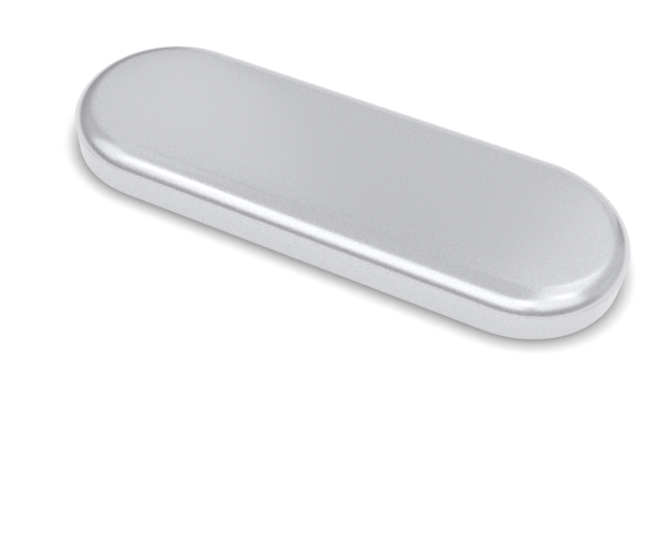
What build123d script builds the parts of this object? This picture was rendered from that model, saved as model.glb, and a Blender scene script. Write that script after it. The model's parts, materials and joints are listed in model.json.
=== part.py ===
"""Hinged metal pencil case with a rounded, stadium-shaped outline.

Two thin drawn shells meet edge to edge. The lid's edge is rolled inwards and comes down on a
bead round the base, over a low neck that centres it. Two small rolled hinges sit low in the
straight back. Inside are a moulded tray with two troughs and a thin pad under the lid.

Millimetres. X runs along the case, -Y is the front, +Z is up, and the origin is on the
surface that the case rests on, under its middle.
"""

import os
from math import acos, atan2, ceil, cos, degrees, dist, hypot, radians, sin, tan

from build123d import *

# The case as a whole
case_length = 200.0
case_width = 70.0
base_height = 11.4
lid_height = 6.6
sheet_thickness = 0.4

# The lid: a flat middle, a slight crown, a wide shoulder that still leans in at the edge, and a roll
crown_flat_width = 20.0
crown_edge_angle = 2.0
edge_lean_angle = 26.0
roll_radius = 0.5
roll_angle = 195.0
seam_gap = 0.1

# The base: a raised panel in the bottom, a rounded corner, a bead and a neck with a curled top
bottom_radius = 1.2
panel_height = 0.5
panel_inset = 7.0
panel_bend_radius = 1.2
bead_radius = 0.5
neck_clearance = 0.65
neck_corner_radius = 0.25
neck_height = 1.6
neck_curl_radius = 0.5
neck_curl_angle = 120.0

# Sheet is bent in flats, which stray from the true arc by no more than this
bend_tolerance = 0.08
leaf_bend_tolerance = 0.032

# The hinges: leaves inside the shells, with knuckles curled round a wire pin
hinge_spacing = 84.0
hinge_axis_inset = 0.2
pin_radius = 0.5
pin_end_length = 0.35
running_clearance = 0.07
leaf_thickness = 0.35
knuckle_wrap_angle = 300.0
base_knuckle_length = 6.0
lid_knuckle_length = 8.0
knuckle_gap = 0.15
leaf_bend_radius = 0.6
base_leaf_height = 5.0
base_leaf_bend_depth = 1.5
lid_leaf_flat_count = 2
lid_leaf_free_count = 1
window_clearance = 0.3
knuckle_clearance = 0.2

# The tray: a thin moulding with two troughs and a finger notch across them
tray_thickness = 0.8
tray_clearance = 0.35
tray_depth_under_seam = 0.8
tray_edge_length = 0.4
trough_length = 160.0
trough_width = 15.0
trough_spacing = 30.0
trough_corner_radius = 6.0
notch_length = 24.0
notch_margin = 4.0
notch_depth = 6.5
notch_corner_radius = 3.5

# The pad glued under the lid
pad_margin = 0.3
pad_thickness = 2.5
pad_edge_length = 1.0

half_width = case_width / 2
straight = case_length - case_width
seam_height = base_height
case_height = base_height + lid_height


def at(centre, radius, angle):
    """The point at an angle, in degrees, on a circle."""
    turn = radians(angle)
    return (centre[0] + radius * cos(turn), centre[1] + radius * sin(turn))


def cross_tangent(first, first_radius, second, second_radius, side):
    """Where a strip that bends round one circle leaves it to wrap the other way round the next."""
    across = (second[0] - first[0], second[1] - first[1])
    reach = hypot(*across)
    half_turn = degrees(acos((first_radius + second_radius) / reach))
    return degrees(atan2(across[1], across[0])) + side * half_turn


def bend(centre, radius, start, stop, rounded, tolerance=bend_tolerance):
    """One bend of a strip of sheet, with as many flats as the tolerance asks for.

    The arc from start to stop, in degrees, is that of the strip's drawn face. The sheet lies
    towards the centre of a rounded bend and away from the centre of a hollow one.
    """
    widest = 2 * degrees(acos(1 - tolerance / radius))
    return (centre, radius, start, stop, rounded, ceil(abs(stop - start) / widest))


def strip(bends, thickness, lead=0.0):
    """Draw a closed band of sheet along bends that straight runs join.

    A lead is a straight start, along the first bend's tangent.
    """
    outer, inner = [], []
    for centre, radius, start, stop, rounded, flats in bends:
        inner_radius = radius - thickness if rounded else radius + thickness
        turns = [start + (stop - start) * step / flats for step in range(flats + 1)]
        outer += [at(centre, radius, turn) for turn in turns]
        inner += [at(centre, inner_radius, turn) for turn in turns]
    if lead:
        start = radians(bends[0][2])
        back = 1 if bends[0][3] > bends[0][2] else -1
        for face in (outer, inner):
            face.insert(0, (face[0][0] + back * lead * sin(start), face[0][1] - back * lead * cos(start)))
    corners = outer + inner[::-1]
    steps = zip(corners, corners[-1:] + corners)
    distinct = [corner for corner, last in steps if dist(corner, last) > 1e-6]
    with BuildLine() as outline:
        Polyline(*distinct, close=True)
    make_face(outline.edges())


def around_case(draw_section):
    """Carry half a cross-section along both straight sides and round both ends."""
    front = Plane((straight / 2, 0, 0), x_dir=(0, -1, 0), z_dir=(-1, 0, 0))
    back = Plane((-straight / 2, 0, 0), x_dir=(0, 1, 0), z_dir=(1, 0, 0))
    for side in (front, back):
        with BuildSketch(side) as section:
            draw_section()
        extrude(section.sketch, amount=straight)
        revolve(section.sketch, axis=Axis(side.origin, (0, 0, 1)), revolution_arc=180)


# The lid's cross-section. The crown meets the shoulder at crown_edge_angle without a crease. The
# shoulder is one arc, whose radius follows from the sizes, and the roll takes over where it still
# leans in by edge_lean_angle.
crown_flat = crown_flat_width / 2
roll_centre = (half_width - roll_radius, seam_height + seam_gap + roll_radius)
slope = tan(radians(crown_edge_angle) / 2)
sin_edge = sin(radians(crown_edge_angle))
cos_edge = cos(radians(crown_edge_angle))
sin_lean = sin(radians(edge_lean_angle))
cos_lean = cos(radians(edge_lean_angle))
reach_to_roll = half_width - crown_flat - roll_radius * (1 - cos_lean)
drop_to_roll = case_height - roll_centre[1] - roll_radius * sin_lean
shoulder_rise = cos_edge - sin_lean - (cos_lean - sin_edge) * slope
shoulder_radius = (drop_to_roll - reach_to_roll * slope) / shoulder_rise
crown_radius = (reach_to_roll - shoulder_radius * (cos_lean - sin_edge)) / sin_edge
crown_centre = (crown_flat, case_height - crown_radius)
shoulder_centre = at(crown_centre, crown_radius - shoulder_radius, 90 - crown_edge_angle)

lid_bends = [
    bend(crown_centre, crown_radius, 90, 90 - crown_edge_angle, True),
    bend(shoulder_centre, shoulder_radius, 90 - crown_edge_angle, edge_lean_angle, True),
    bend(roll_centre, roll_radius, edge_lean_angle, 0, True),
    bend(roll_centre, roll_radius, 0, -roll_angle, True),
]

# The base's cross-section, from the middle of the bottom out, up, in over the bead and up the neck
neck_reach = half_width - 2 * roll_radius - neck_clearance
neck_top = seam_height + neck_height
panel_turn = degrees(acos(1 - panel_height / (2 * panel_bend_radius)))
panel_run = 2 * panel_bend_radius * sin(radians(panel_turn))
panel_reach = half_width - panel_inset - panel_run
panel_foot = panel_reach + panel_run
neck_corner = (neck_reach + neck_corner_radius, seam_height + neck_corner_radius)

curl_centre = (neck_reach - neck_curl_radius, neck_top - neck_curl_radius)

base_bends = [
    bend((panel_reach, panel_height - panel_bend_radius), panel_bend_radius, 90, 90 - panel_turn, False),
    bend((panel_foot, panel_bend_radius), panel_bend_radius, -90 - panel_turn, -90, True),
    bend((half_width - bottom_radius, bottom_radius), bottom_radius, -90, 0, True),
    bend((half_width - bead_radius, seam_height - bead_radius), bead_radius, 0, 90, True),
    bend(neck_corner, neck_corner_radius, -90, -180, False),
    bend(curl_centre, neck_curl_radius, 0, neck_curl_angle, True),
]

# The hinge line runs inside the back's outer face, level with the seam
hinge_axis = (half_width - hinge_axis_inset, seam_height)
knuckle_bore = pin_radius + running_clearance
knuckle_radius = knuckle_bore + leaf_thickness
hinge_length = lid_knuckle_length + 2 * knuckle_gap + 2 * base_knuckle_length
pin_length = hinge_length + 2 * pin_end_length
window_length = pin_length + 2 * window_clearance
window_reach = knuckle_radius + window_clearance
neck_side = hinge_axis[0] - knuckle_radius - knuckle_clearance
roll_side = half_width - sheet_thickness - 2 * roll_radius
hinge_places = {"left": -hinge_spacing / 2, "right": hinge_spacing / 2}

# The base's leaf stands against the back wall, and bends out to the hinge line
base_leaf_face = half_width - sheet_thickness - leaf_thickness
base_leaf_centre = (base_leaf_face - leaf_bend_radius, seam_height - base_leaf_bend_depth)
base_leaf_turn = cross_tangent(base_leaf_centre, leaf_bend_radius, hinge_axis, knuckle_radius, -1)
base_knuckle_start = base_leaf_turn + 180
base_knuckle_stop = base_knuckle_start - knuckle_wrap_angle
base_leaf_bends = [
    bend(base_leaf_centre, leaf_bend_radius, 0, base_leaf_turn, False, leaf_bend_tolerance),
    bend(hinge_axis, knuckle_radius, base_knuckle_start, base_knuckle_stop, True, leaf_bend_tolerance),
]

# The lid's leaf lies on the flats inside the shoulder, but leaves the lowest ones free
flat_turn = (90 - crown_edge_angle - edge_lean_angle) / lid_bends[1][-1]
leave_angle = edge_lean_angle + lid_leaf_free_count * flat_turn
top_angle = leave_angle + lid_leaf_flat_count * flat_turn
lid_leaf_radius = shoulder_radius - sheet_thickness - leaf_thickness
lid_leaf_centre = at(shoulder_centre, lid_leaf_radius - leaf_bend_radius, leave_angle)
lid_leaf_turn = cross_tangent(lid_leaf_centre, leaf_bend_radius, hinge_axis, knuckle_radius, 1)
lid_knuckle_start = lid_leaf_turn + 180
lid_knuckle_stop = lid_knuckle_start + knuckle_wrap_angle
lid_leaf_bends = [
    (shoulder_centre, lid_leaf_radius, top_angle, leave_angle, False, lid_leaf_flat_count),
    bend(lid_leaf_centre, leaf_bend_radius, leave_angle, lid_leaf_turn, False, leaf_bend_tolerance),
    bend(hinge_axis, knuckle_radius, lid_knuckle_start, lid_knuckle_stop, True, leaf_bend_tolerance),
]

os.makedirs("parts", exist_ok=True)


def finish(piece, name):
    """Label a finished piece and write it to its own file."""
    piece.part.label = name
    export_step(piece.part, f"parts/{name}.step")


def cut_windows(low, high, inner):
    """Cut a window for each hinge out of a shell's back edge, between two heights."""
    outer = half_width + knuckle_radius
    for middle in hinge_places.values():
        with BuildSketch(Plane.XY.offset(low)) as window:
            with Locations((middle, (inner + outer) / 2)):
                Rectangle(window_length, outer - inner)
        extrude(window.sketch, amount=high - low, mode=Mode.SUBTRACT)


with BuildPart() as base_shell:
    around_case(lambda: strip(base_bends, sheet_thickness, panel_reach))
    cut_windows(seam_height - window_reach, seam_height + window_reach, neck_side)
finish(base_shell, "base_shell")

with BuildPart() as lid_shell:
    around_case(lambda: strip(lid_bends, sheet_thickness, crown_flat))
    cut_windows(seam_height, roll_centre[1] + roll_radius + seam_gap, roll_side)
finish(lid_shell, "lid_shell")


# Each leaf is cut away where the other leaf's knuckles turn: (from the hinge's middle, width)
lid_side_gap = (hinge_length - lid_knuckle_length) / 2
base_leaf_gaps = [(0, lid_knuckle_length + 2 * knuckle_gap)]
lid_leaf_gaps = [(end * (hinge_length - lid_side_gap) / 2, lid_side_gap) for end in (-1, 1)]


def hinge_leaf(bends, gaps, middle, lead=0.0):
    """Bend one leaf out of strip and make room for the other leaf's knuckles."""
    with BuildSketch(Plane.YZ.offset(middle - hinge_length / 2)) as profile:
        strip(bends, leaf_thickness, lead)
    extrude(profile.sketch, amount=hinge_length)
    room = knuckle_radius + knuckle_clearance
    for place, width in gaps:
        with BuildSketch(Plane.XY.offset(seam_height - room)) as gap:
            with Locations((middle + place, hinge_axis[0])):
                Rectangle(width, 2 * (leaf_bend_radius + knuckle_radius))
        extrude(gap.sketch, amount=2 * room, mode=Mode.SUBTRACT)


for side, middle in hinge_places.items():
    with BuildPart() as base_leaf:
        hinge_leaf(base_leaf_bends, base_leaf_gaps, middle, base_leaf_height)
    finish(base_leaf, f"hinge_leaf_base_{side}")

    with BuildPart() as lid_leaf:
        hinge_leaf(lid_leaf_bends, lid_leaf_gaps, middle)
    finish(lid_leaf, f"hinge_leaf_lid_{side}")

    with BuildPart() as pin:
        with BuildSketch(Plane.YZ.offset(middle - pin_length / 2)):
            with Locations(hinge_axis):
                Circle(pin_radius)
        extrude(amount=pin_length)
    finish(pin, f"hinge_pin_{side}")

# The tray stands on the bottom's inner face and fits inside the neck's curled top
floor_height = sheet_thickness
tray_bottom = panel_height + sheet_thickness
tray_top = seam_height - tray_depth_under_seam
tray_width = 2 * (neck_reach - 2 * neck_curl_radius - tray_clearance)
tray_length = tray_width + straight
trough_depth = tray_top - tray_bottom - tray_thickness
notch_width = tray_width - 2 * notch_margin


def sunken_form(length, width, depth, corner_radius, across, place=0, turn=0):
    """A slot sunk into the tray's top: upright ends, and a bottom rounded across its width."""
    with BuildPart() as form:
        with BuildSketch(Plane.XY.offset(tray_top)):
            with Locations((0, place)):
                SlotOverall(length, width, rotation=turn)
        extrude(amount=-depth)
        with BuildSketch(across) as channel:
            with Locations((place, tray_top - depth / 2)):
                Rectangle(width, depth)
            fillet(channel.vertices().group_by(Axis.Y)[0], corner_radius)
        extrude(channel.sketch, amount=length, both=True, mode=Mode.INTERSECT)
    return form.part


def sunken_forms(grow):
    """The troughs and the notch, or their undersides when grown by the tray's thickness."""
    trough = (trough_length, trough_width, trough_depth, trough_corner_radius)
    notch = (notch_width, notch_length, notch_depth, notch_corner_radius)
    growth = (2 * grow, 2 * grow, grow, grow)
    trough, notch = [[size + more for size, more in zip(form, growth)] for form in (trough, notch)]
    rows = [sunken_form(*trough, Plane.YZ, place=side * trough_spacing / 2) for side in (-1, 1)]
    return rows + [sunken_form(*notch, Plane.XZ, turn=90)]


undersides = sunken_forms(tray_thickness)
hollows = sunken_forms(0)

with BuildPart() as pen_tray:
    with BuildSketch(Plane.XY.offset(floor_height)):
        SlotOverall(tray_length, tray_width)
        SlotOverall(tray_length - 2 * tray_thickness, tray_width - 2 * tray_thickness, mode=Mode.SUBTRACT)
    extrude(amount=tray_top - floor_height)
    with BuildSketch(Plane.XY.offset(tray_top - tray_thickness)):
        SlotOverall(tray_length, tray_width)
    extrude(amount=tray_thickness)
    add(undersides)
    add(hollows, mode=Mode.SUBTRACT)
    chamfer(pen_tray.edges().filter_by(Plane.XY).group_by(Axis.Z)[-1], tray_edge_length)
finish(pen_tray, "pen_tray")


def pad_section():
    """Half the pad: its top follows the lid's flats, and its lower edge is bevelled."""
    crown_edge = at(crown_centre, crown_radius - sheet_thickness, 90 - crown_edge_angle)
    inner_top = case_height - sheet_thickness
    fall = (inner_top - crown_edge[1]) / (crown_edge[0] - crown_flat)
    reach = crown_edge[0] - pad_margin
    bottom = inner_top - pad_thickness
    with BuildLine() as outline:
        Polyline(
            (0, inner_top),
            (crown_flat, inner_top),
            (reach, inner_top - fall * (reach - crown_flat)),
            (reach, bottom + pad_edge_length),
            (reach - pad_edge_length, bottom),
            (0, bottom),
            close=True,
        )
    make_face(outline.edges())


with BuildPart() as lid_pad:
    around_case(pad_section)
finish(lid_pad, "lid_pad")
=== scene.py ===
# %% [markdown]
# # A metal pencil case, dressed
#
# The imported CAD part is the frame. It gives every body, hinge and wall its place, in metres, with
# +Z up and the front of the case towards -Y. Everything made here is fitted to that frame. The case
# has two drawn shells with a stadium outline, a tray and a pad inside, and two hinges at the back.

# %% Load the frame
import bmesh
import bpy
import json
from math import acos, cos, degrees, dist, pi, radians, sin, tan
from mathutils import Matrix, Vector


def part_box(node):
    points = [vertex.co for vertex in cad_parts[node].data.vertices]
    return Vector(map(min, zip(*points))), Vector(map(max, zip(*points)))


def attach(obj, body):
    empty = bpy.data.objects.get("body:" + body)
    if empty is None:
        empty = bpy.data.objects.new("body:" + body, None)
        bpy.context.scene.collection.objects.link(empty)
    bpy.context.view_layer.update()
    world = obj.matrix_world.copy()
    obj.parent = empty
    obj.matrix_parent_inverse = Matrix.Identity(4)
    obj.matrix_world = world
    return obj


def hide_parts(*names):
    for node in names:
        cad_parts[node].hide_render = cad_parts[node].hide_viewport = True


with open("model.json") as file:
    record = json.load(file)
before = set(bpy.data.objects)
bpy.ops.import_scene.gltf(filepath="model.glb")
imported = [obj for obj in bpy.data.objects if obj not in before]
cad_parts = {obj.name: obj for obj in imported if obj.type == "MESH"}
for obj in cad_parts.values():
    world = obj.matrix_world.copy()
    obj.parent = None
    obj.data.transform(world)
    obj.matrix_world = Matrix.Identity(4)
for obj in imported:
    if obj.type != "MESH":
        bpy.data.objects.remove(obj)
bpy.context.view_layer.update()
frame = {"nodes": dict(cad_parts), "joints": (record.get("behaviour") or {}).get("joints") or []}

MM = 0.001

# %% [markdown]
# ## The case in numbers
#
# The outline is a stadium: two straight sides and two half circles. The outer sizes come from the
# frame's own boxes and the seam's height from the hinge, so they are never typed twice. What the
# frame can't say, such as how a sheet bends, is named here in millimetres and degrees. The crown,
# the shoulder and the roll are true arcs that touch without a crease, as on a drawn and rolled lid.

# %% Sizes from the frame
half_length, half_width, case_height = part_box("lid_shell")[1] / MM
straight_half = half_length - half_width
seam_height = frame["joints"][0]["pos_m"][2] / MM
hinge_reach = frame["joints"][0]["pos_m"][1] / MM
neck_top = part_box("base_shell")[1].z / MM
print("half length", round(half_length, 2), "half width", round(half_width, 2), "seam", round(seam_height, 2))

# %% Sizes of the bends
sheet_thickness = 0.4
crown_flat = 10.0
crown_edge_angle = 2.0
edge_lean_angle = 26.0
roll_radius = 0.5
roll_angle = 195.0
seam_gap = 0.1
bottom_radius = 1.2
panel_height = 0.5
panel_inset = 7.0
panel_bend_radius = 1.2
bead_radius = 0.5
neck_clearance = 0.65
neck_corner_radius = 0.25
neck_curl_radius = 0.5
neck_curl_angle = 120.0
print("sheet", sheet_thickness, "mm, edge rolled", roll_angle, "degrees round", roll_radius, "mm")

# %% [markdown]
# ## Bending sheet
#
# A drawn shell has the same section all the way round. It could be a rounded box with a bevel, but
# then the shoulder's radius and the rolled edge would be guesses. So the section is drawn once, as
# bends joined by straight runs, and carried round the stadium. Each bend is an arc of the outer
# face; the other face follows it one sheet's thickness away. Fine steps and smooth shading together
# keep the highlight on the shoulder free of stripes.

# %% Draw a strip of sheet
same_point = 1e-5


def at(centre, radius, angle):
    """The point at an angle, in degrees, on a circle."""
    return (centre[0] + radius * cos(radians(angle)), centre[1] + radius * sin(radians(angle)))


def arc(centre, radius, start, stop, steps):
    """Points along a circle from one angle to another."""
    return [at(centre, radius, start + (stop - start) * n / steps) for n in range(steps + 1)]


def bend_faces(bends, thickness, step=6.0):
    """The two faces of a bent strip, as lists of points, from (centre, radius, start, stop, rounded)."""
    outer, inner = [], []
    for centre, radius, start, stop, rounded in bends:
        steps = max(2, round(abs(stop - start) / step))
        inner_radius = radius - thickness if rounded else radius + thickness
        outer += arc(centre, radius, start, stop, steps)
        inner += arc(centre, inner_radius, start, stop, steps)
    return outer, inner


def without_repeats(points):
    """The same points with each that repeats the one before it left out."""
    return points[:1] + [point for point, last in zip(points[1:], points) if dist(point, last) > same_point]


print("a quarter bend has", len(arc((0, 0), 1, 0, 90, 15)), "points on each face")

# %% Carry a section round a stadium
weld_distance = 1e-7
sliver_width = 1e-8
shell_end_steps = 96
shell_side_steps = 26


def stadium_stations(straight, end_steps, side_steps):
    """Places round a stadium: a point on its long axis, and the direction outwards in X and Y."""
    stations = []
    for side in (1, -1):
        for n in range(side_steps):
            stations.append((side * straight * (1 - 2 * n / side_steps), 0.0, side))
        for n in range(end_steps):
            turn = side * pi / 2 + pi * n / end_steps
            stations.append((-side * straight, cos(turn), sin(turn)))
    return stations


def sweep_round(name, section, straight, end_steps, side_steps):
    """A mesh with a section of (reach, height) points carried round a stadium. Ends at reach 0 meet."""
    form = bmesh.new()
    rows = []
    for x, out_x, out_y in stadium_stations(straight, end_steps, side_steps):
        places = [Vector((x + reach * out_x, reach * out_y, height)) * MM for reach, height in section]
        rows.append([form.verts.new(place) for place in places])
    for row, after in zip(rows, rows[1:] + rows[:1]):
        for k in range(len(section) - 1):
            form.faces.new((row[k], after[k], after[k + 1], row[k + 1]))
    bmesh.ops.remove_doubles(form, verts=form.verts, dist=weld_distance)
    bmesh.ops.dissolve_degenerate(form, dist=sliver_width, edges=form.edges)
    bmesh.ops.recalc_face_normals(form, faces=form.faces)
    mesh = bpy.data.meshes.new(name)
    form.to_mesh(mesh)
    form.free()
    piece = bpy.data.objects.new(name, mesh)
    bpy.context.scene.collection.objects.link(piece)
    return piece


def smooth(piece, sharpest=35.0):
    """Shade a piece smooth, with creases kept where its faces turn by more than an angle."""
    piece.data.polygons.foreach_set("use_smooth", [True] * len(piece.data.polygons))
    piece.data.set_sharp_from_angle(angle=radians(sharpest))
    piece.data.update()


shell_places = stadium_stations(straight_half, shell_end_steps, shell_side_steps)
print("the shells are carried through", len(shell_places), "places")

# %% [markdown]
# ## The lid
#
# On the real case the lid is one drawn cap: a nearly flat top with a slight crown, one wide
# shoulder, and an edge rolled inwards so that nothing sharp shows. The shoulder never turns quite
# upright: it still leans in where the rolled edge takes over. Its radius and the crown's could be
# typed in, but then a change of height would leave a crease that breaks the highlight. So they are
# worked out from where the crown and the roll have to meet.

# %% The lid's section
roll_centre = (half_width - roll_radius, seam_height + seam_gap + roll_radius)
slope = tan(radians(crown_edge_angle) / 2)
sin_edge, cos_edge = sin(radians(crown_edge_angle)), cos(radians(crown_edge_angle))
sin_lean, cos_lean = sin(radians(edge_lean_angle)), cos(radians(edge_lean_angle))
reach_to_roll = half_width - crown_flat - roll_radius * (1 - cos_lean)
drop_to_roll = case_height - roll_centre[1] - roll_radius * sin_lean
shoulder_rise = cos_edge - sin_lean - (cos_lean - sin_edge) * slope
shoulder_radius = (drop_to_roll - reach_to_roll * slope) / shoulder_rise
crown_radius = (reach_to_roll - shoulder_radius * (cos_lean - sin_edge)) / sin_edge
crown_centre = (crown_flat, case_height - crown_radius)
shoulder_centre = at(crown_centre, crown_radius - shoulder_radius, 90 - crown_edge_angle)

lid_bends = [
    (crown_centre, crown_radius, 90, 90 - crown_edge_angle, True),
    (shoulder_centre, shoulder_radius, 90 - crown_edge_angle, edge_lean_angle, True),
    (roll_centre, roll_radius, edge_lean_angle, -roll_angle, True),
]
print("shoulder radius", round(shoulder_radius, 2), "mm, crown radius", round(crown_radius), "mm")


# %% The lid's shell
def shell(name, bends):
    """One drawn shell: its section starts on the middle line, goes out, round the edge and back."""
    outer, inner = bend_faces(bends, sheet_thickness)
    section = [(0.0, outer[0][1])] + outer + inner[::-1] + [(0.0, inner[0][1])]
    return sweep_round(name, without_repeats(section), straight_half, shell_end_steps, shell_side_steps)


lid = shell("lid_outer", lid_bends)
print("lid faces", len(lid.data.polygons))

# %% [markdown]
# ## The base
#
# The base is drawn the other way up. Its bottom has a shallow raised panel that keeps it flat, and
# its wall runs straight up to a bead, which the lid's edge comes down on. Above the bead a low neck
# stands inside the lid and centres it, with its top curled inwards. It is made just as the lid is:
# only the bends differ.

# %% The base's section
neck_reach = half_width - 2 * roll_radius - neck_clearance
panel_turn = degrees(acos(1 - panel_height / (2 * panel_bend_radius)))
panel_run = 2 * panel_bend_radius * sin(radians(panel_turn))
panel_foot = half_width - panel_inset
panel_reach = panel_foot - panel_run
neck_corner = (neck_reach + neck_corner_radius, seam_height + neck_corner_radius)
curl_centre = (neck_reach - neck_curl_radius, neck_top - neck_curl_radius)

base_bends = [
    ((panel_reach, panel_height - panel_bend_radius), panel_bend_radius, 90, 90 - panel_turn, False),
    ((panel_foot, panel_bend_radius), panel_bend_radius, -90 - panel_turn, -90, True),
    ((half_width - bottom_radius, bottom_radius), bottom_radius, -90, 0, True),
    ((half_width - bead_radius, seam_height - bead_radius), bead_radius, 0, 90, True),
    (neck_corner, neck_corner_radius, -90, -180, False),
    (curl_centre, neck_curl_radius, 0, neck_curl_angle, True),
]
base = shell("base_outer", base_bends)
print("base faces", len(base.data.polygons))

# %% [markdown]
# ## Windows for the hinges
#
# The hinge knuckles sit in two small windows in the back edge of both shells. They could be left
# open while the section is carried round, but only the back has them. So they are cut out of the
# finished shells with a boolean, as a press tool would do it.

# %% Join and cut
def combine(piece, tool, operation):
    """Join a tool body to a piece, or cut it out, and put the tool away."""
    change = piece.modifiers.new("tool", "BOOLEAN")
    change.operation = operation
    change.solver = "EXACT"
    change.object = tool
    bpy.context.view_layer.objects.active = piece
    bpy.ops.object.modifier_apply(modifier="tool")
    bpy.data.objects.remove(tool)


def cut_block(piece, low, high):
    """Cut a box, given by two corners in mm, out of a piece."""
    cutter = bpy.data.objects.new("cutter", bpy.data.meshes.new("cutter"))
    bpy.context.scene.collection.objects.link(cutter)
    form = bmesh.new()
    bmesh.ops.create_cube(form, size=1.0)
    for vert in form.verts:
        vert.co = Vector(low[k] + (high[k] - low[k]) * (vert.co[k] + 0.5) for k in range(3)) * MM
    form.to_mesh(cutter.data)
    form.free()
    combine(piece, cutter, "DIFFERENCE")


# %% Cut the windows
window_clearance = 0.3
knuckle_clearance = 0.2
behind_case = half_width + 2
under_lid = seam_height - 1
roll_side = half_width - sheet_thickness - 2 * roll_radius
roll_top = roll_centre[1] + roll_radius + seam_gap
for side in ("left", "right"):
    pin_low, pin_high = (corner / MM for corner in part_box(f"hinge_pin_{side}"))
    leaf_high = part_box(f"hinge_leaf_base_{side}")[1] / MM
    knuckle_radius = leaf_high.y - hinge_reach
    room = knuckle_radius + window_clearance
    left, right = pin_low.x - window_clearance, pin_high.x + window_clearance
    inside = hinge_reach - knuckle_radius - knuckle_clearance
    cut_block(base, (left, inside, seam_height - room), (right, behind_case, seam_height + room))
    cut_block(lid, (left, roll_side, under_lid), (right, behind_case, roll_top))
print("after the cuts: lid", len(lid.data.polygons), "base", len(base.data.polygons), "faces")

# %% Fit the shells to the frame
for piece, body, node in ((lid, "lid", "lid_shell"), (base, "base", "base_shell")):
    smooth(piece)
    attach(piece, body)
    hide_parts(node)
    print(piece.name, "stands for", node)

# %% [markdown]
# ## Effects that several finishes share
#
# A node group is like a tool on the bench: built once and used with its own settings in each
# finish. Both groups here take a few numbers and put out a mask and a normal, so the shaders
# themselves stay in the materials. The grain group gives the fine random speckle of satin nickel
# plate. A picture of metal could give that too, but noise stays sharp from any distance.

# %% Start and end a group
def new_group(name, **inputs):
    """An empty shader node group that takes named numbers and gives a mask and a normal."""
    group = bpy.data.node_groups.new(name, "ShaderNodeTree")
    for label, value in inputs.items():
        socket = group.interface.new_socket(label, in_out="INPUT", socket_type="NodeSocketFloat")
        socket.default_value = value
    group.interface.new_socket("Mask", in_out="OUTPUT", socket_type="NodeSocketFloat")
    group.interface.new_socket("Normal", in_out="OUTPUT", socket_type="NodeSocketVector")
    return group, group.nodes.new("NodeGroupInput"), group.nodes.new("NodeGroupOutput")


def give_mask(group, given, result, mask):
    """Put a mask out as it is, and as a bump with the group's strength and depth."""
    bump = group.nodes.new("ShaderNodeBump")
    link = group.links.new
    link(mask, bump.inputs["Height"])
    link(given.outputs["Strength"], bump.inputs["Strength"])
    link(given.outputs["Depth"], bump.inputs["Distance"])
    link(mask, result.inputs["Mask"])
    link(bump.outputs["Normal"], result.inputs["Normal"])
    print("group", group.name, "with", len(group.nodes), "nodes")


# %% The grain group
def build_grain():
    """Fine random speckle."""
    group, given, result = new_group("fine_grain", Scale=2500.0, Strength=0.1, Depth=0.02 * MM)
    place = group.nodes.new("ShaderNodeTexCoord")
    speckle = group.nodes.new("ShaderNodeTexNoise")
    speckle.inputs["Detail"].default_value = 3.0
    speckle.inputs["Roughness"].default_value = 0.6
    group.links.new(place.outputs["Object"], speckle.inputs["Vector"])
    group.links.new(given.outputs["Scale"], speckle.inputs["Scale"])
    give_mask(group, given, result, speckle.outputs["Fac"])
    return group


grain = build_grain()

# %% [markdown]
# ## Satin metal
#
# The shells are nickel-plated steel with a satin finish: they mirror the room only as soft bands of
# light and dark. A single roughness would give that, but the bands would look drawn with a ruler.
# So the grain moves the colour, the roughness and the normal a little, and the bands get a slightly
# granular edge.

# %% Helpers for materials
def start_material(name):
    """A new material with its Principled shader, ready for links."""
    material = bpy.data.materials.new(name)
    material.use_nodes = True
    return material, material.node_tree, material.node_tree.nodes["Principled BSDF"]


def use_group(tree, group, **values):
    """Place a node group in a material with its own values."""
    node = tree.nodes.new("ShaderNodeGroup")
    node.node_tree = group
    for label, value in values.items():
        node.inputs[label].default_value = value
    return node


def mask_to_range(tree, mask, low, high):
    """A mask from 0 to 1 stretched to a range of values."""
    stretch = tree.nodes.new("ShaderNodeMapRange")
    stretch.inputs["To Min"].default_value = low
    stretch.inputs["To Max"].default_value = high
    tree.links.new(mask, stretch.inputs["Value"])
    return stretch.outputs["Result"]


def mask_to_colour(tree, mask, dark, light):
    """A mask from 0 to 1 turned into a blend of two colours."""
    ramp = tree.nodes.new("ShaderNodeValToRGB")
    ramp.color_ramp.elements[0].color = (*dark, 1)
    ramp.color_ramp.elements[1].color = (*light, 1)
    tree.links.new(mask, ramp.inputs["Fac"])
    return ramp.outputs["Color"]


# %% The metals
def make_metal(name, dark, light, roughness, **grain_values):
    """Plated steel: the grain shades its colour and roughness and softens its reflections."""
    material, tree, shader = start_material(name)
    shader.inputs["Metallic"].default_value = 1.0
    speckle = use_group(tree, grain, Depth=0.03 * MM, **grain_values)
    mask = speckle.outputs["Mask"]
    tree.links.new(mask_to_colour(tree, mask, dark, light), shader.inputs["Base Color"])
    tree.links.new(mask_to_range(tree, mask, *roughness), shader.inputs["Roughness"])
    tree.links.new(speckle.outputs["Normal"], shader.inputs["Normal"])
    print("metal", name)
    return material


satin_metal = make_metal(
    "satin_nickel", (0.56, 0.565, 0.58), (0.76, 0.765, 0.78), (0.16, 0.3), Scale=1500.0, Strength=0.3
)
hinge_metal = make_metal(
    "hinge_nickel", (0.52, 0.525, 0.54), (0.7, 0.705, 0.72), (0.14, 0.28), Scale=1900.0, Strength=0.2
)
for piece in (lid, base):
    piece.data.materials.append(satin_metal)

# %% [markdown]
# ## The hinges
#
# Each hinge is two leaves of steel strip, rolled round a wire. They could be modelled again here,
# but their CAD shapes are already right. So they stay as they are and only take a plated finish, a
# little darker and smoother than the shells'.

# %% Finish the hinges
def refinish(node, material):
    """Give a CAD node that stays in view a finished material."""
    piece = frame["nodes"][node]
    piece.data.materials.clear()
    piece.data.materials.append(material)
    print(node, "has", material.name)


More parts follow.
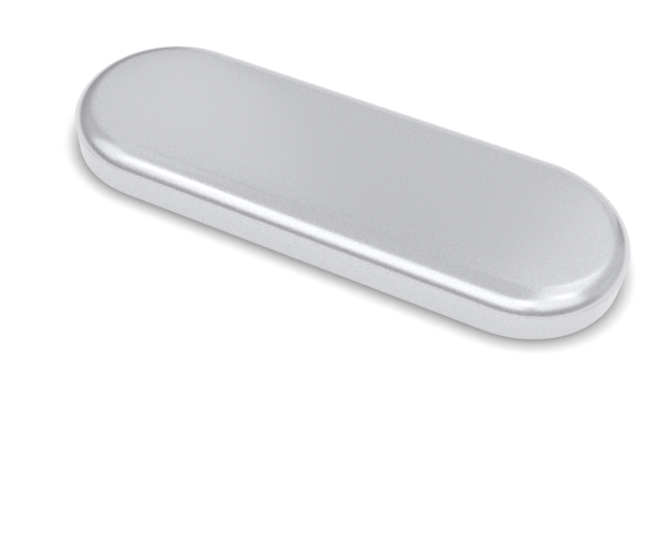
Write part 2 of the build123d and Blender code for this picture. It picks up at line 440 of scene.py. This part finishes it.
for side in ("left", "right"):
    for part in ("hinge_leaf_base", "hinge_leaf_lid", "hinge_pin"):
        refinish(f"{part}_{side}", hinge_metal)

# %% [markdown]
# ## The tray
#
# The tray is a thin black moulding with two troughs and a finger notch across them. A plug presses
# each of them into the hot sheet, so every corner is round and every lip is soft. A grid pushed
# down point by point would follow the slots only in steps. Here each is a slot-shaped body instead:
# its underside is joined to the plate first, and then its inside is cut out.

# %% Sizes of the tray
tray_low, tray_high = (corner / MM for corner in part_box("pen_tray"))
tray_reach, tray_top = tray_high.y, tray_high.z
tray_thickness = 0.8
tray_floor = panel_height + sheet_thickness + tray_thickness
tray_edge_radius = 0.5
lip_radius = 0.6
trough_length = 160.0
trough_half = 7.5
trough_spacing = 30.0
trough_corner = 6.0
notch_half = 12.0
notch_margin = 4.0
notch_depth = 6.5
notch_corner = 3.5
cut_height = tray_top + 1
print("tray reach", round(tray_reach, 2), "top", round(tray_top, 2), "foot", round(tray_low.z, 2))


# %% The forms that are pressed in
def pressed_form(name, half, straight, floor, corner, place, grown):
    """A slot-shaped body: the inside of a form, or its underside where it is grown by the sheet."""
    low, wide, bend = floor - grown, half + grown, corner + grown
    section = [(0.0, low)] + arc((wide - bend, low + bend), bend, -90, 0, 10)
    if grown:
        joint = tray_top - grown / 2
        section += [(wide, joint), (0.0, joint)]
    else:
        section += arc((wide + lip_radius, tray_top - lip_radius), lip_radius, 180, 90, 6)
        section += [(wide + lip_radius, cut_height), (0.0, cut_height)]
    body = sweep_round(name, without_repeats(section), straight, end_steps=48, side_steps=6)
    body.data.transform(place)
    return body


trough_sizes = (trough_half, trough_length / 2 - trough_half, tray_floor, trough_corner)
notch_sizes = (notch_half, tray_reach - notch_margin - notch_half, tray_top - notch_depth, notch_corner)
front_place = Matrix.Translation((0, -trough_spacing / 2 * MM, 0))
back_place = Matrix.Translation((0, trough_spacing / 2 * MM, 0))
across_place = Matrix.Rotation(pi / 2, 4, "Z")
forms = (
    ("trough", *trough_sizes, front_place),
    ("trough", *trough_sizes, back_place),
    ("notch", *notch_sizes, across_place),
)
print("forms:", [form[0] for form in forms])


# %% Press the forms into the plate
cut_weld_distance = 5e-7
cut_sliver_width = 1e-7


def press_all(piece, grown, operation):
    """Join or cut both troughs and the notch."""
    for form in forms:
        combine(piece, pressed_form(*form, grown), operation)


def close_slivers(piece):
    """Merge points that the cuts left a hair's breadth apart, and drop the faces between them."""
    form = bmesh.new()
    form.from_mesh(piece.data)
    bmesh.ops.remove_doubles(form, verts=form.verts, dist=cut_weld_distance)
    bmesh.ops.dissolve_degenerate(form, dist=cut_sliver_width, edges=form.edges)
    form.to_mesh(piece.data)
    form.free()


edge_centre = (tray_reach - tray_edge_radius, tray_top - tray_edge_radius)
wall_reach = tray_reach - tray_thickness
under_top = tray_top - tray_thickness
plate = [(0.0, tray_top)] + arc(edge_centre, tray_edge_radius, 90, 0, 6)
plate += [(tray_reach, tray_low.z), (wall_reach, tray_low.z), (wall_reach, under_top), (0.0, under_top)]
tray = sweep_round("pen_tray_moulding", plate, straight_half, end_steps=72, side_steps=8)
press_all(tray, tray_thickness, "UNION")
press_all(tray, 0.0, "DIFFERENCE")
close_slivers(tray)
print("tray faces", len(tray.data.polygons), "size in mm", [round(size / MM, 2) for size in tray.dimensions])

# %% Shade the tray and fit it to the frame
smooth(tray, sharpest=40.0)
even = tray.modifiers.new("even_shading", "WEIGHTED_NORMAL")
even.keep_sharp = True
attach(tray, "base")
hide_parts("pen_tray")
print(tray.name, "stands for pen_tray")

# %% [markdown]
# ## Flock and cloth
#
# The tray is covered in short flock and the pad in plain cloth. Both scatter light at grazing
# angles. Real fibres would be far too many to model, so sheen gives that scatter and a bump gives
# the relief: random for flock, and threads that cross at right angles for cloth.

# %% The weave group
def build_weave():
    """Plain cloth: threads that cross at right angles, as a mask of how high they stand."""
    group, given, result = new_group("plain_weave", Threads=9000.0, Strength=0.5, Depth=0.1 * MM)
    place = group.nodes.new("ShaderNodeTexCoord")
    crossing = group.nodes.new("ShaderNodeMath")
    crossing.operation = "MULTIPLY"
    for number, direction in enumerate(("X", "Y")):
        wave = group.nodes.new("ShaderNodeTexWave")
        wave.bands_direction = direction
        wave.inputs["Distortion"].default_value = 0.6
        wave.inputs["Detail Scale"].default_value = 2.0
        group.links.new(place.outputs["Object"], wave.inputs["Vector"])
        group.links.new(given.outputs["Threads"], wave.inputs["Scale"])
        group.links.new(wave.outputs["Fac"], crossing.inputs[number])
    give_mask(group, given, result, crossing.outputs["Value"])
    return group


weave = build_weave()


# %% Flock and cloth
def make_soft(name, group, dark, light, sheen, **values):
    """Short fibres, as flock or as cloth: near black, with a soft sheen and a fine bump."""
    material, tree, shader = start_material(name)
    shader.inputs["Roughness"].default_value = 0.95
    shader.inputs["Sheen Weight"].default_value = sheen
    shader.inputs["Sheen Roughness"].default_value = 0.45
    fibres = use_group(tree, group, **values)
    tree.links.new(mask_to_colour(tree, fibres.outputs["Mask"], dark, light), shader.inputs["Base Color"])
    tree.links.new(fibres.outputs["Normal"], shader.inputs["Normal"])
    print("soft finish", name)
    return material


flock = make_soft(
    "black_flock", grain, (0.004, 0.004, 0.005), (0.045, 0.045, 0.05), 0.3,
    Scale=1300.0, Strength=0.7, Depth=0.15 * MM,
)
cloth = make_soft(
    "black_cloth", weave, (0.01, 0.01, 0.012), (0.09, 0.09, 0.1), 0.15,
    Threads=330.0, Strength=0.8, Depth=0.2 * MM,
)
tray.data.materials.append(flock)

# %% [markdown]
# ## The pad in the lid
#
# A thin pad of cloth over foam is glued under the lid. It replaces the plain CAD solid: its cloth
# is drawn in at the edge and stands slightly proud in the middle. Cloth simulation could puff it up,
# but a pad this thin and tight is the same section all round, so it is carried round as the shells
# are.

# %% The lid's pad
pad_low, pad_high = (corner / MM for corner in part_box("lid_pad"))
pad_reach = pad_high.y
pad_edge_radius = 1.0
pad_crown = 0.45
crown_steps = 12
top_fall = 0.28
top_corner = ((0.6, 0.0), (0.15, 0.25))


def pad_outline():
    """Half the pad's section: along the lid, round the drawn-in edge and back under the crowned face."""
    top = pad_high.z
    section = [(0.0, top), (crown_flat, top)]
    section += [(pad_reach - inwards, top - top_fall - down) for inwards, down in top_corner]
    edge_reach = pad_reach - pad_edge_radius
    section += arc((edge_reach, pad_low.z + pad_crown + pad_edge_radius), pad_edge_radius, 0, -90, 8)
    for n in range(1, crown_steps + 1):
        share = 1 - n / crown_steps
        section.append((edge_reach * share, pad_low.z + pad_crown * share ** 2))
    return section


pad_section = without_repeats(pad_outline())
pad = sweep_round("lid_pad_cloth", pad_section, straight_half, end_steps=64, side_steps=40)
smooth(pad, sharpest=60.0)
pad.data.materials.append(cloth)
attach(pad, "lid")
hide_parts("lid_pad")
print("pad faces", len(pad.data.polygons))

# %% [markdown]
# ## The floor
#
# The case lies on a plain pale floor that reads as white. A white floor could be had by lighting it
# hard, but then the metal would burn out too. So the floor is pale paper with a little glow of its
# own, which the camera, the metal and any glass all see. Close round the case an ambient occlusion
# mask takes some of the glow and of the paper's white away, so that the case keeps its soft shadow.
# Only the camera sees that shade: the metal mirrors the floor without it, as the wall of the case
# stays bright down to its foot. The plane is one-sided, so a camera under it looks through to the
# bottom of the case, and it reaches so far that its edge stays near the horizon.

# %% The shade close to the case
shade_distance = 7 * MM
shade_full_at = 0.5
shade_gone_at = 0.95
shade_keeps = 0.42
mirror_share = 0.95


def contact_shade(tree, camera_ray):
    """How much of the floor's white the camera sees: less where the case is near."""
    near = tree.nodes.new("ShaderNodeAmbientOcclusion")
    near.inputs["Distance"].default_value = shade_distance
    shade = tree.nodes.new("ShaderNodeMapRange")
    shade.inputs["From Min"].default_value = shade_full_at
    shade.inputs["From Max"].default_value = shade_gone_at
    shade.inputs["To Min"].default_value = shade_keeps
    kept = tree.nodes.new("ShaderNodeMix")
    kept.inputs["A"].default_value = 1.0
    tree.links.new(near.outputs["AO"], shade.inputs["Value"])
    tree.links.new(camera_ray, kept.inputs["Factor"])
    tree.links.new(shade.outputs["Result"], kept.inputs["B"])
    return kept.outputs["Result"]


def seen_glow(tree, rays):
    """The share of the glow that a ray sees: all for the camera, and almost all for a mirror."""
    seen = rays.outputs["Is Camera Ray"]
    for kind, share in (("Is Glossy Ray", mirror_share), ("Is Transmission Ray", 1.0)):
        either = tree.nodes.new("ShaderNodeMath")
        either.operation = "MULTIPLY_ADD"
        either.inputs[1].default_value = share
        tree.links.new(rays.outputs[kind], either.inputs[0])
        tree.links.new(seen, either.inputs[2])
        seen = either.outputs["Value"]
    return seen


# %% The paper
paper_grey = (0.6, 0.6, 0.6, 1)
glow_grey = (0.49, 0.49, 0.49, 1)


def make_paper():
    """Pale paper with a glow, darker close to the case, and clear from below."""
    material = bpy.data.materials.new("floor_paper")
    material.use_nodes = True
    tree = material.node_tree
    tree.nodes.clear()
    link = tree.links.new
    rays = tree.nodes.new("ShaderNodeLightPath")
    kept = contact_shade(tree, rays.outputs["Is Camera Ray"])
    white = tree.nodes.new("ShaderNodeMix")
    white.data_type = "RGBA"
    white.inputs["A"].default_value = (0, 0, 0, 1)
    white.inputs["B"].default_value = paper_grey
    paper = tree.nodes.new("ShaderNodeBsdfDiffuse")
    link(kept, white.inputs["Factor"])
    link(white.outputs["Result"], paper.inputs["Color"])
    strength = tree.nodes.new("ShaderNodeMath")
    strength.operation = "MULTIPLY"
    glow = tree.nodes.new("ShaderNodeEmission")
    glow.inputs["Color"].default_value = glow_grey
    link(seen_glow(tree, rays), strength.inputs[0])
    link(kept, strength.inputs[1])
    link(strength.outputs["Value"], glow.inputs["Strength"])
    both = tree.nodes.new("ShaderNodeAddShader")
    link(paper.outputs["BSDF"], both.inputs[0])
    link(glow.outputs["Emission"], both.inputs[1])
    side = tree.nodes.new("ShaderNodeNewGeometry")
    under = tree.nodes.new("ShaderNodeBsdfTransparent")
    one_sided = tree.nodes.new("ShaderNodeMixShader")
    link(side.outputs["Backfacing"], one_sided.inputs["Fac"])
    link(both.outputs["Shader"], one_sided.inputs[1])
    link(under.outputs["BSDF"], one_sided.inputs[2])
    out = tree.nodes.new("ShaderNodeOutputMaterial")
    link(one_sided.outputs["Shader"], out.inputs["Surface"])
    return material


# %% The floor
floor_reach = 20.0
floor_drop = 0.1 * MM
floor_mesh = bpy.data.meshes.new("floor")
corners = [(x * floor_reach, y * floor_reach, 0) for x, y in ((-1, -1), (1, -1), (1, 1), (-1, 1))]
floor_mesh.from_pydata(corners, [], [(0, 1, 2, 3)])
floor_mesh.materials.append(make_paper())
floor = bpy.data.objects.new("floor", floor_mesh)
floor.location.z = -floor_drop
bpy.context.scene.collection.objects.link(floor)
print("floor", 2 * floor_reach, "m across")

# %% [markdown]
# ## The light
#
# Satin metal shows the room as soft bands, so the room has to hold the right bands. A ready-made
# picture of a studio would bring bands of its own. This room is a pale studio whose light changes
# with height: dim at the horizon, which gives the lid its grey band above the seam, and brighter
# higher up. It also changes a little from side to side, as the top of the case does. In front hangs
# a bank of soft lamps, which gives the shoulder its long white highlight. Weaker lamps stand at the
# sides, low on the right and behind, and keep the two round ends and the back from going dark.

# %% The room
cool_tint = 1.01
height_levels = ((0.0, 0.44), (0.2, 0.5), (0.36, 0.64), (0.5, 0.79), (0.62, 0.83), (0.78, 0.76), (1.0, 0.79))
side_levels = (
    (0.0, 1.1), (0.04, 0.98), (0.1, 0.82), (0.19, 0.9), (0.27, 1.0), (0.8, 1.0), (0.88, 0.92), (1.0, 1.1)
)


def level_ramp(tree, value, levels):
    """Grey levels that change with a value, from pairs of a place and its level. The first is at 0."""
    ramp = tree.nodes.new("ShaderNodeValToRGB")
    stops = ramp.color_ramp.elements
    stops.remove(stops[-1])
    for place, level in levels:
        stop = stops.new(place) if place else stops[0]
        stop.color = (level, level, level * cool_tint, 1)
    tree.links.new(value, ramp.inputs["Fac"])
    return ramp.outputs["Color"]


def make_room():
    """A pale studio, the same for every ray, whose light changes with height and from side to side."""
    world = bpy.data.worlds.new("studio")
    bpy.context.scene.world = world
    world.use_nodes = True
    tree = world.node_tree
    place = tree.nodes.new("ShaderNodeTexCoord")
    direction = tree.nodes.new("ShaderNodeSeparateXYZ")
    across = tree.nodes.new("ShaderNodeMapRange")
    across.inputs["From Min"].default_value = -1.0
    tree.links.new(place.outputs["Generated"], direction.inputs["Vector"])
    tree.links.new(direction.outputs["X"], across.inputs["Value"])
    both = tree.nodes.new("ShaderNodeMix")
    both.data_type = "RGBA"
    both.blend_type = "MULTIPLY"
    both.inputs["Factor"].default_value = 1.0
    tree.links.new(level_ramp(tree, direction.outputs["Z"], height_levels), both.inputs["A"])
    tree.links.new(level_ramp(tree, across.outputs["Result"], side_levels), both.inputs["B"])
    tree.links.new(both.outputs["Result"], tree.nodes["Background"].inputs["Color"])
    print("room", world.name, "with", len(tree.nodes), "nodes")


make_room()

# %% The lamps
lamp_distance = 1.0


def softbox(name, azimuth, elevation, width, height, radiance):
    """A rectangular lamp that looks at the case; azimuth 0 is in front and 90 on the right."""
    lamp = bpy.data.lights.new(name, "AREA")
    lamp.shape = "RECTANGLE"
    lamp.size = width
    lamp.size_y = height
    lamp.energy = radiance * pi * width * height
    holder = bpy.data.objects.new(name, lamp)
    turn, rise = radians(azimuth), radians(elevation)
    away = Vector((sin(turn) * cos(rise), -cos(turn) * cos(rise), sin(rise)))
    holder.location = away * lamp_distance
    holder.rotation_euler = away.to_track_quat("Z", "Y").to_euler()
    bpy.context.scene.collection.objects.link(holder)


softbox("front_lamp", 0, 39, 1.1, 0.68, 0.68)
softbox("left_lamp", -56, 35, 0.6, 0.68, 0.52)
softbox("right_lamp", 63, 39, 0.78, 0.7, 0.5)
softbox("left_wing", -98, 58, 0.5, 0.25, 0.2)
softbox("right_wing", 110, 58, 0.8, 0.5, 0.48)
softbox("left_fill", -130, 42, 0.6, 0.4, 0.15)
softbox("right_fill", 157, 50, 0.48, 0.5, 0.22)
softbox("right_low", 118, 8, 0.85, 0.5, 0.24)
softbox("back_lamp", -176, 10, 1.1, 0.5, 0.38)
print("lamps", [light.name for light in bpy.data.lights])

# %% [markdown]
# ## The camera
#
# The photograph is seen from the front, a little from the right and from about fifty degrees up. A
# camera placed by eye is never quite right. So its place was found by fitting the case's outline,
# its bottom edge and the seam to the photograph, and it is given here as angles and a distance.

# %% The camera
view_azimuth = 21.050
view_elevation = 49.526
view_roll = 4.514
view_distance = 300.882
view_target = Vector((15.520, -40.295, 10.0))
photo_width = 666
focal_pixels = 958.229

camera_data = bpy.data.cameras.new("camera")
camera_data.sensor_width = 36.0
camera_data.lens = focal_pixels / photo_width * camera_data.sensor_width
camera_data.clip_start = 10 * MM
camera = bpy.data.objects.new("camera", camera_data)
bpy.context.scene.collection.objects.link(camera)
azimuth, elevation, roll = radians(view_azimuth), radians(view_elevation), radians(view_roll)
back = Vector((sin(azimuth) * cos(elevation), -cos(azimuth) * cos(elevation), sin(elevation)))
right = (-back).cross(Vector((0, 0, 1))).normalized()
up = right.cross(-back)
rolled_right = right * cos(roll) + up * sin(roll)
rolled_up = up * cos(roll) - right * sin(roll)
turned = Matrix((rolled_right, rolled_up, back)).transposed()
camera.matrix_world = Matrix.Translation((view_target + back * view_distance) * MM) @ turned.to_4x4()
bpy.context.scene.camera = camera
print("camera at", [round(value, 3) for value in camera.location], "lens", round(camera_data.lens, 2))

# %% Colour
bpy.context.scene.view_settings.view_transform = "Standard"
